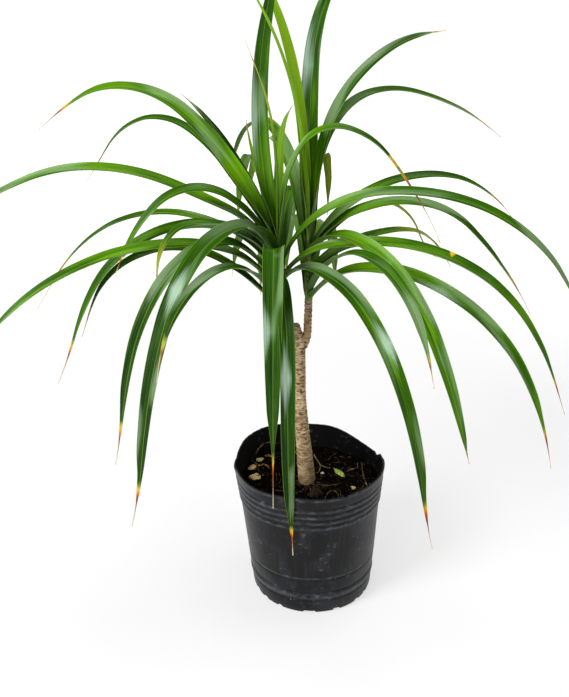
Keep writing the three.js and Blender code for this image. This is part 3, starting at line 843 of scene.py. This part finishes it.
# One row for each leaf, lowest first: the bearing it grows towards, its seat above the shoot's
# top, its length and width, the slopes of its midrib in degrees from base to tip, and its habit.
# swing, twist and roll turn it, in degrees, and a crisp one bends in folds. taper and slim say how
# long it stays broad and how slim it is before its dry tip. dry is that tip's share of the length,
# and warm how orange it is. deep, young and yellow are its colour, which ages from a place on. A
# fleck of decay and a painted highlight each have a place along it, a reach and a side.
LEFT_LEAVES = [
    (192, 0.004, 0.28, 0.014, (48, 43, 25, -6, -34, -64, -76), dict(dry=0.12, young=0.2, deep=0.9)),
    (238, 0.008, 0.264, 0.015, (56, 38, 11, -20, -52, -80), dict(dry=0.16, deep=1)),
    (100, 0.01, 0.225, 0.016, (50, 30, -10, -45, -65, -75), {}),
    (277, 0.014, 0.365, 0.0185, (82, -57, -88, -89, -88, -83, -79),
     dict(swing=30, twist=24, dry=0.09, warm=1, deep=1.2, gloss=(0.4, 0.2, -0.3))),
    (203, 0.02, 0.38, 0.016, (62, 28, 5, -9, -24, -38, -50), dict(dry=0.09, deep=0.7)),
    (110, 0.016, 0.25, 0.015, (55, 30, -6, -36, -56, -66), {}),
    (-42, 0.024, 0.4, 0.02, (60, -5, -42, -60, -70, -78, -70),
     dict(dry=0.12, warm=1, deep=0.7, gloss=(0.44, 0.12, 0.5))),
    (216, 0.026, 0.372, 0.019, (65, 35, -24, -56, -73, -80, -74), dict(dry=0.12, warm=0.8, deep=1.3)),
    (-10, 0.03, 0.42, 0.017, (60, 14, -3, -25, -48, -64, -72),
     dict(dry=0.1, warm=0.6, fleck=(0.47, 0.012, 1.0))),
    (268, 0.032, 0.37, 0.025, (72, 38, -79, -86, -87, -88, -88, -88, -85),
     dict(dry=0.17, taper=2.2, slim=0.28, crisp=1, warm=1, deep=0.9, gloss=(0.42, 0.14, -0.8))),
    (84, 0.035, 0.34, 0.017, (60, 30, -5, -35, -60, -72), {}),
    (170, 0.038, 0.356, 0.011, (60, 28, 6, -18, -38, -54, -60), dict(dry=0.22)),
    (-5, 0.044, 0.43, 0.016, (73, 38, 7, -12, -33, -55, -66), dict(dry=0.07)),
    (193, 0.046, 0.35, 0.017, (63, 25, -7, -34, -60, -70, -62), dict(dry=0.14, warm=0.7, deep=0.9)),
    (209, 0.05, 0.204, 0.01, (66, 50, 26, 12, 0, -50, -82, -86),
     dict(dry=0.12, yellow=1.2, ages=0.64, deep=0.8)),
    (106, 0.052, 0.32, 0.017, (68, 48, 12, -35, -62, -72), {}),
    (228, 0.055, 0.43, 0.022, (80, 6, -42, -67, -76, -81, -70),
     dict(dry=0.1, warm=1, deep=1.2, gloss=(0.41, 0.12, -0.1))),
    (186, 0.061, 0.42, 0.016, (58, 29, 23, 4, -19, -35, -46), dict(dry=0.06)),
    (198, 0.064, 0.242, 0.016, (63, 51, 36, -4, -42, -58, -66), dict(dry=0.07, warm=1, deep=0.8)),
    (166, 0.068, 0.312, 0.012, (62, 56, 52, 30, -18, -55, -60), dict(dry=0.14)),
    (180, 0.071, 0.336, 0.02, (68, 61, 53, 41, 9, -29, -46),
     dict(roll=(-25, -25, 0, 0), dry=0.12, warm=0.5, deep=0.4)),
    (0, 0.072, 0.322, 0.0165, (85, 84, 56, -17, -52, -57, -66),
     dict(roll=(8, -15, -5, 20), dry=0.28, slim=0.5, warm=0.6, fleck=(0.68, 0.035, 0.2), deep=0.6)),
    (145, 0.077, 0.192, 0.011, (62, 54, 50, 40, 28), dict(dry=0.08, deep=1)),
    (275, 0.076, 0.218, 0.004, (88, 87, 80, 70, 64), dict(swing=-80, dry=0.16, deep=1, yellow=0.8)),
    (88, 0.08, 0.138, 0.013, (68, 82, 90, 80, 54), dict(swing=-60, young=0.6, dry=0.05)),
    (115, 0.073, 0.132, 0.006, (70, 61, 60, 74, 82), dict(swing=40, young=0.8, dry=0.05)),
    (152, 0.087, 0.284, 0.02, (72, 83, 92, 101, 114),
     dict(roll=(-20, -20), dry=0.06, deep=0.6, gloss=(0.42, 0.36, 0.7))),
]
RIGHT_LEAVES = [
    (-22, 0.004, 0.398, 0.02, (55, 14, -14, -34, -54, -68, -74),
     dict(dry=0.11, warm=0.9, deep=0.3, gloss=(0.4, 0.14, -0.4))),
    (98, 0.008, 0.32, 0.016, (52, 30, -10, -40, -62, -74), {}),
    (-60, 0.012, 0.303, 0.015, (55, 38, 12, -18, -51, -74), dict(dry=0.1, deep=0.8)),
    (50, 0.022, 0.24, 0.015, (45, 6, -20, -42, -52, -56), {}),
    (80, 0.016, 0.28, 0.017, (55, 25, -15, -45, -62, -74), {}),
    (40, 0.032, 0.256, 0.013, (34, 9, -1, -14, -42, -58), dict(dry=0.08, warm=0.6, yellow=0.9)),
    (96, 0.036, 0.32, 0.017, (65, 45, 5, -35, -58, -70), {}),
    (20, 0.046, 0.208, 0.009, (64, 42, 18, -32, -68, -40), dict(dry=0.1, yellow=1.2)),
    (112, 0.05, 0.33, 0.017, (72, 58, 20, -30, -60, -72), {}),
    (5, 0.054, 0.33, 0.016, (62, 24, -8, -44, -52, -60), dict(dry=0.16)),
    (-44, 0.056, 0.345, 0.02, (52, -4, -38, -58, -66, -72),
     dict(dry=0.04, deep=0.3, gloss=(0.35, 0.12, -0.5))),
    (15, 0.059, 0.288, 0.015, (60, 37, 14, -8, -34, -54), dict(dry=0.17, warm=0.3)),
    (56, 0.062, 0.17, 0.0115, (74, 84, 82, 66, -80, -90, -92),
     dict(roll=(0, -30, -40, -30), dry=0.1, yellow=1.0, crisp=1, gloss=(0.42, 0.1, 0))),
    (118, 0.064, 0.32, 0.016, (73, 60, 28, -18, -50, -62), {}),
    (62, 0.068, 0.38, 0.015, (83, 82, 45, 6, -16, -26, -44),
     dict(swing=-50, dry=0.09, warm=0.9, deep=0.6)),
    (-5, 0.073, 0.278, 0.02, (84, 86, 74, 55, 33, 2), dict(roll=(10, 10), dry=0.05, deep=0.9)),
    (100, 0.076, 0.35, 0.022, (82, 88, 81, 48, 14),
     dict(swing=-70, dry=0.06, deep=0.7, gloss=(0.5, 0.24, 0.6))),
    (163, 0.082, 0.29, 0.019, (86, 86, 81, 71, 60), dict(swing=10, young=1, dry=0.06)),
    (233, 0.085, 0.29, 0.009, (86, 82, 74, 63, 52), dict(swing=-30, young=0.6, dry=0.05)),
]


def between(values, s, crisp=0):
    """The value at a share of the way along a list at even steps; a crisp one turns in folds."""
    place = min(max(s, 0.0), 1.0) * (len(values) - 1)
    k = min(int(place), len(values) - 2)
    t = place - k
    if crisp:
        t = smoothstep((t - 0.5) * 2.2 + 0.5)
    return lerp(values[k], values[k + 1], t)


def core_radius(height):
    return lerp(LEFT_SHOOT[4][3], CORE_TOP_RADIUS, max(0.0, height) / CORE_HEIGHT)


def blade_path(leaf, seed, shoot):
    """The midrib's points, and at each the bearing, the slope and the share of the length."""
    turn, seat, length, _, slopes, habit = leaf
    dry = habit["dry"]
    seat_radius = core_radius(seat) / math.cos(BASE_FOLD) + SEAT_GAP
    middle = Vector(shoot[4][:3]) + Vector((0, 0, seat)) + heading(turn) * seat_radius
    path = [(middle, turn, slopes[0], 0.0)]
    for k in range(1, SHEATH_RINGS + 1):
        slope = lerp(slopes[0], SHEATH_SLOPE, smoothstep(k / SHEATH_RINGS))
        below = path[0][0] - heading(turn, slope) * SHEATH_LENGTH / SHEATH_RINGS
        path.insert(0, (below, turn, slope, -k / SHEATH_RINGS))
    for k in range(1, LEAF_RINGS + 1):
        s = k / LEAF_RINGS
        mid = s - 0.5 / LEAF_RINGS
        free = smoothstep((s - 0.15) / 0.5)
        parched = smoothstep((s - 1 + dry * 0.8) / dry)
        sway = ruffle(mid * 2.4, seed * 5.3, 1.0) * (SWAY[0] * free + SWAY[1] * parched)
        nod = ruffle(mid * 2.8, seed * 7.1, 4.0) * (NOD[0] * free + NOD[1] * parched)
        bearing = turn + habit["swing"] * mid + sway
        slope = between(slopes, mid, habit["crisp"]) + nod
        middle = middle + heading(bearing, slope) * length / LEAF_RINGS
        path.append((middle, bearing, slope, s))
    return path


def blade_section(half, wrap, opened):
    """Sideways and inward places of the points across a blade, from an arc round the shoot to
    a shallow channel with flat sides."""
    radius = half / wrap
    side = radius * np.sin(wrap * ACROSS)
    arc = radius * (1 - np.cos(wrap * ACROSS))
    channel = radius * (1 - math.cos(wrap)) * (0.35 * ACROSS ** 2 + 0.65 * np.abs(ACROSS))
    return side, lerp(arc, channel, opened)


def blade_skin(half, seed, s):
    """How thick the blade is above and below its middle surface at the points across it."""
    body = EDGE_SKIN + BODY_SKIN * np.exp(-((ACROSS / 0.4) ** 2))
    rib = np.exp(-((ACROSS / 0.09) ** 2))
    scale = min(1.0, half / 0.0035)
    above = body - RIB_ABOVE * rib * scale
    below = body + RIB_BELOW * rib * scale
    ripple = RIPPLE * ruffle(s * 11, seed * 3.1, 8.0) * np.abs(ACROSS) ** 3 * scale
    return above, below, ripple


def grow_leaf(node, leaf, seed, shoot):
    """One blade, ring by ring along its midrib, and what its finish reads at each point."""
    turn, seat, length, width, _, habit = leaf
    dry = habit["dry"]
    chance = random.Random(seed)
    young = habit["young"] + chance.uniform(-0.12, 0.12)
    base_share = lerp(*BASE_SHARES, seat / CORE_HEIGHT)
    twist = habit.get("twist", chance.uniform(-9, 9))
    deep = habit.get("deep", chance.uniform(0.3, 0.7))
    fleck_at, fleck_reach, fleck_side = habit["fleck"]
    highlight_at, highlight_reach, highlight_side = habit["gloss"]
    points, reads = [], {name: [] for name in ("lie", "life", "face", "marks", "shine")}
    for middle, bearing, slope, s in blade_path(leaf, seed, shoot):
        opened = smoothstep(s / 0.3)
        parched = smoothstep((s - 1 + dry) / (dry * 0.7))
        sheath = max(0.0, -s)
        half = width / 2 * lerp(base_share, 1, smoothstep(s / BROAD_FROM))
        half *= 1 - max(s, 0) ** habit["taper"]
        half *= lerp(1, habit["slim"], smoothstep((s - 1 + dry * 2) / dry))
        half = max(lerp(half, THREAD, parched), THREAD) * (1 - 0.75 * sheath ** 2)
        if s == 1.0:
            half = TIP
        wrap = math.radians(lerp(WRAPPED, OPEN, opened) + CURLED * parched + CLASPED * sheath)
        light = LIGHT_ROLL * math.cos(math.radians(turn)) + between(habit["roll"], s)
        roll = math.radians(light * smoothstep(s / 0.25) + twist * smoothstep((s - 0.3) / 0.5))
        level, above = heading(bearing + 90), heading(bearing, slope + 90)
        side = level * math.cos(roll) + above * math.sin(roll)
        up = above * math.cos(roll) - level * math.sin(roll)
        across, inward = blade_section(half, wrap, opened)
        top, bottom, ripple = blade_skin(half, seed, s)
        inward = inward + ripple
        rise, run = np.gradient(inward), np.gradient(across)
        norm = np.hypot(rise, run)
        lean, stand = -rise / norm, run / norm
        aged = habit["yellow"] * smoothstep((s - habit["ages"]) / 0.3)
        # Painted shade: lighter on the arch's top and darker along the hanging part, over the blade's
        # own depth of green
        deep_and_shaded = deep + 0.4 * smoothstep((s - 0.25) / 0.4) - 0.3
        order = [(i, 1) for i in range(len(ACROSS))] + [(i, -1) for i in reversed(range(len(ACROSS)))]
        for i, sign in order:
            off = top[i] if sign > 0 else -bottom[i]
            x, n = across[i] + lean[i] * off, inward[i] + stand[i] * off
            points.append(middle + side * float(x) + up * float(n))
            fleck = 1 - abs(s - fleck_at) / fleck_reach - abs(fleck_side * (ACROSS[i] - fleck_side))
            # Painted highlight: a pale patch at the place along and across the blade that the row gives
            gloss = 1 - abs(s - highlight_at) / highlight_reach - 0.8 * abs(ACROSS[i] - highlight_side)
            reads["lie"].append((s * length, across[i], seed))
            reads["life"].append(((s - 1 + dry) / dry, young, aged))
            reads["face"].append((abs(ACROSS[i]), 1.0 if sign < 0 else 0.0, sheath))
            reads["marks"].append((habit["warm"], fleck, deep_and_shaded))
            reads["shine"].append((max(gloss, 0.0) if sign > 0 else 0.0, 0.0, 0.0))
    sides = 2 * len(ACROSS)
    rings = [tuple(reversed(f)) for f in ring_faces(len(points) // sides, sides)]
    piece = add_piece("strap_" + node, points, rings, leaf_green, "leaf", [node])
    for name, vectors in reads.items():
        give(piece.data, name, vectors)


def leaf_looks(start):
    """Deep green with fine parallel veins, pale patches of painted sheen like a waxy bloom, a painted
    highlight where a row places one, a pale midrib and edge line, greyer underneath, and painted
    shade at the blade's base and along its hanging part. Young blades are brighter and old ones
    yellow, and the tip dries to straw."""
    lie, life, face, marks = (start.own(name) for name in ("lie", "life", "face", "marks"))
    place = start.place()
    along, across = lie.part(0), lie.part(1)
    tip, young, yellow = life.part(0), life.part(1), life.part(2)
    edge, under, sheath = face.part(0), face.part(1), face.part(2)
    warm, fleck, deep = marks.part(0), marks.part(1), marks.part(2)
    gloss = start.own("shine").part(0)
    veins = lie.stretch(5.0, 2300.0, 3.7).cloud(1.0, 3.0)
    bands = lie.stretch(16.0, 240.0, 5.1).cloud(1.0, 2.0)
    tone = place.cloud(7.0, 2.0)
    # deep holds the blade's own depth of green and the painted shade along its hanging part
    green = (0.35 * bands + 0.45 * tone + 0.2 * (1 - deep)).ramp(
        (0.34, 13, 44, 0), (0.5, 43, 83, 2), (0.66, 98, 148, 12))
    # Pale patches of painted sheen, like a waxy bloom, fewer on young blades
    bloom_and_sheen = lie.stretch(11.0, 60.0, 7.9).cloud(1.0, 1.0).fade(0.53, 0.68) * (1 - young.fade(0.2, 0.8))
    # The painted highlight, broken into streaks along the blade
    shine = gloss + 0.8 * (lie.stretch(8.0, 520.0, 6.1).cloud(1.0, 2.0) - 0.5)
    midrib = abs(across).fade(0.0008, 0.0002) * tip.fade(0.0, -0.4)
    patch = fleck + 1.2 * (lie.stretch(90.0, 400.0, 1.9).cloud(1.0, 2.0) - 0.5)
    fresh = green.coated(
        (veins.fade(0.45, 0.7) * 0.26, (104, 152, 26)),
        (young.fade(0.1, 1.0) * (0.35 + 0.9 * veins), (136, 180, 34)),
        (yellow.fade(0.0, 1.0) * 0.9, (134, 140, 34)),
        # Painted sheen patches
        (bloom_and_sheen * 0.3, (164, 192, 146)),
        # Painted highlight, pale and bluish
        (shine.fade(0.25, 0.85) * 0.6, (184, 212, 190)),
        (midrib * 0.32, (126, 168, 66)),
        (edge.fade(0.94, 0.99) * 0.35, (160, 184, 90)),
        (under * 0.25, (96, 130, 36)),
        # Painted shade: darker at each blade's base, in the heart of the head
        (along.fade(0.11, 0.01) * 0.5, (18, 44, 6)),
        (sheath * 0.5, (150, 158, 86)),
        (patch.fade(0.0, 0.5) * 0.9, (222, 182, 52)),
        (patch.fade(0.75, 1.05) * 0.7, (206, 118, 40)))
    ragged = tip + 0.4 * (lie.stretch(60.0, 900.0, 2.3).cloud(1.0, 2.0) - 0.5)
    fiery = ragged.ramp((0.0, 168, 166, 50), (0.06, 226, 152, 44), (0.15, 186, 98, 32),
                        (0.3, 118, 62, 30), (0.48, 150, 100, 62), (0.9, 222, 202, 166))
    plain = ragged.ramp((0.0, 140, 148, 60), (0.14, 158, 140, 72), (0.28, 118, 82, 46),
                        (0.5, 186, 152, 108), (0.9, 222, 206, 174))
    colour = ragged.fade(-0.16, 0.03).pick(fresh, warm.pick(plain, fiery))
    rough = 0.3 + 0.12 * bands - 0.06 * bloom_and_sheen + 0.35 * ragged.fade(-0.1, 0.2) + 0.08 * under
    relief = veins * (1 - midrib)
    return {"Base Color": colour, "Roughness": rough, "Normal": relief.bump(0.00009)}


leaf_green = finish("leaf_blade", 0.5, 0.09, leaf_looks)
for head, leaves, shoot in (("left", LEFT_LEAVES, LEFT_SHOOT), ("right", RIGHT_LEAVES, RIGHT_SHOOT)):
    for count, (*row, habit) in enumerate(leaves, 1):
        leaf = (*row, {**PLAIN_HABIT, **habit})
        grow_leaf(f"leaf_{head}_{count:02d}", leaf, count + (40 if head == "right" else 0), shoot)

# The studio: a pale floor that runs out of sight, a white room, three soft boxes of light, and
# the camera of the photograph, above the pot's rim and looking down.
FLOOR_REACH = 14.0
CAMERA_PLACE = (0.0, -1.041, 0.786)
CAMERA_PITCH = 24.28
CAMERA_YAW = 1.916
FOCAL_PIXELS = 1000.0
FRAME_HEIGHT = 697
SENSOR = 36.0
# Squares of the distances between which the floor turns from grey to white
FLOOR_SPAN = (0.05, 4.0)
FLOOR_GLOW = 0.66
# The room's light is full near the horizon, and falls by this much between these heights
SKY_FALL = 0.64
SKY_SPAN = (0.08, 0.2)
# Soft boxes of light: name, place, what it is aimed at, size and power
SOFT_BOXES = [
    ("key_light", (-1.7, -1.5, 2.1), (0, 0, 0.4), 1.0, 66),
    ("front_light", (-1.0, -2.4, 1.0), (0, 0, 0.4), 0.9, 16),
    ("top_light", (0.5, 0.3, 2.6), (0, 0, 0.3), 1.0, 26),
]


def floor_looks(start):
    """Pale grey near the plant, where its shadow falls, and white further out."""
    place = start.place()
    x, y = place.part(0), place.part(1)
    far = (x * x + y * y).fade(*FLOOR_SPAN)
    colour = far.pick((164, 164, 164), (250, 250, 250))
    glow = far.pick((238, 238, 238), (252, 252, 252))
    return {"Base Color": colour, "Emission Color": glow}


floor_points = [(x * FLOOR_REACH, y * FLOOR_REACH, 0) for x, y in ((-1, -1), (1, -1), (1, 1), (-1, 1))]
pale_floor = finish("pale_floor", 0.9, 0.0, floor_looks, FLOOR_GLOW)
floor = put("studio_floor", make_mesh("studio_floor", floor_points, [(0, 1, 2, 3)], pale_floor))

room = bpy.data.worlds.new("white_room")
room.use_nodes = True
backdrop = room.node_tree.nodes["Background"]
backdrop.inputs["Color"].default_value = (1.0, 1.0, 1.0, 1.0)
skyward = Wire(room.node_tree).node("TexCoord", {}, {}).part(2).fade(*SKY_SPAN)
room.node_tree.links.new((1.0 - SKY_FALL * skyward).socket, backdrop.inputs["Strength"])
scene.world = room

for name, place, aim, size, power in SOFT_BOXES:
    box = bpy.data.lights.new(name, "AREA")
    box.size = size
    box.energy = power
    light = put(name, box)
    light.location = place
    light.rotation_mode = "QUATERNION"
    light.rotation_quaternion = (Vector(aim) - Vector(place)).to_track_quat("-Z", "Y")

lens = bpy.data.cameras.new("photo_camera")
lens.sensor_fit = "AUTO"
lens.sensor_width = SENSOR
lens.lens = FOCAL_PIXELS / FRAME_HEIGHT * SENSOR
lens.clip_end = 60.0
camera = put("photo_camera", lens)
camera.location = CAMERA_PLACE
camera.rotation_euler = (math.radians(90 - CAMERA_PITCH), 0, math.radians(CAMERA_YAW))
scene.camera = camera
scene.view_settings.view_transform = "Standard"
